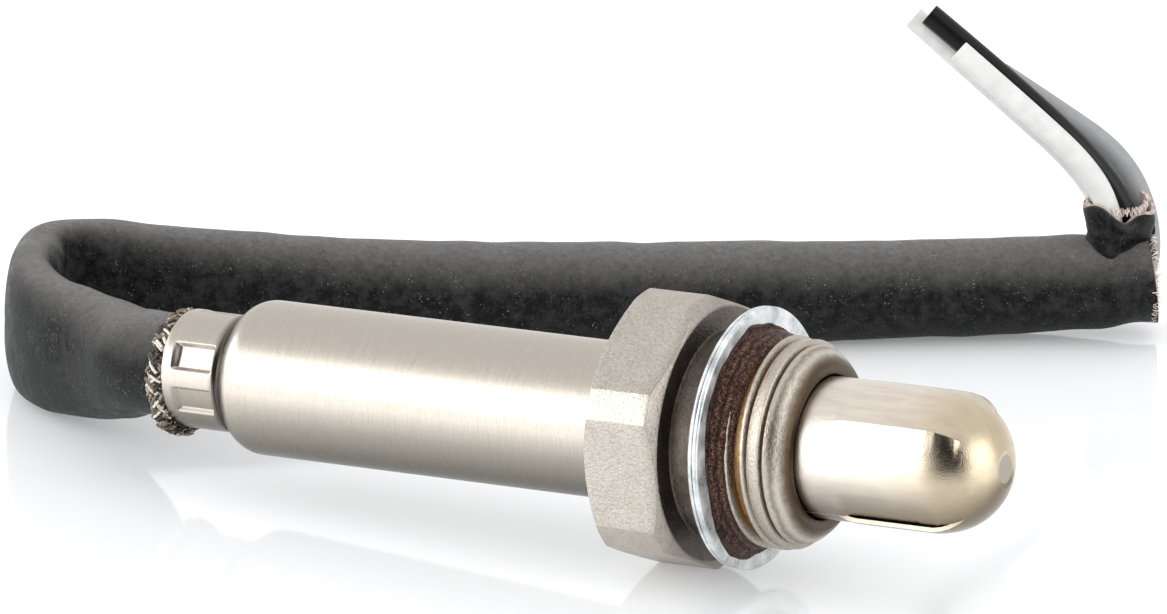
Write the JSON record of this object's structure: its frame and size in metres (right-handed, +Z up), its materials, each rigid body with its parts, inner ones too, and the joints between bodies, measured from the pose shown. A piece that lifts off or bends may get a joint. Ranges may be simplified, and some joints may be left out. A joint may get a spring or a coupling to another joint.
{
  "type": "oxygen sensor",
  "caption": "Exhaust oxygen sensor with a threaded steel shell, louvred tip, long round casing and a sleeved heater and signal cable cut short.",
  "frame": {"origin": "on the surface it lies on, under the middle of the rigid sensor's box (all but the sleeve and wires)", "axes": "+X along the sensor towards its tip, level with the surface (the axis itself rises 2.5 degrees towards the tip), +Z up, the cable bends round on the +Y side"},
  "size_m": [0.1129, 0.0946, 0.0307],
  "materials": {
    "shell_steel": "sand-fine satin skin on the hexagon, turned bright on its corners",
    "gasket_steel": "zinc-plated rolled strip",
    "tube_nickel_alloy": "warm polished nickel alloy",
    "packing_metal": "plain sheet",
    "zirconia": "dense white ceramic",
    "talc": "pressed powder",
    "steatite": "unglazed",
    "casing_steel": "brushed round its length",
    "heater_ceramic": "smooth",
    "contact_metal": "plain nickel strip",
    "grommet_rubber": "moulded heat-proof rubber",
    "sleeve_varnished_glass_fibre": "smooth glossy black coating",
    "wire_white": "silicone-like satin skin",
    "wire_black": "satin skin",
    "wire_grey": "satin skin"
  },
  "bodies": {
    "root": {"sensor_shell": "shell_steel", "gasket_ring": "gasket_steel", "protection_tube": "tube_nickel_alloy", "element_seal_ring": "packing_metal", "zirconia_element": "zirconia", "talc_packing": "talc", "packing_ring": "steatite", "crimp_washer": "packing_metal", "casing_tube": "casing_steel", "heater_rod": "heater_ceramic", "ground_contact": "contact_metal", "signal_contact": "contact_metal", "heater_terminal_1": "contact_metal", "heater_terminal_2": "contact_metal", "signal_terminal": "contact_metal", "ground_terminal": "contact_metal", "front_insulator": "steatite", "rear_insulator": "steatite", "retention_spring": "contact_metal", "cable_grommet": "grommet_rubber", "glass_fibre_sleeve": "sleeve_varnished_glass_fibre", "white_wire_1": "wire_white", "white_wire_2": "wire_white", "black_wire": "wire_black", "grey_wire": "wire_grey"}
  },
  "joints": []
}
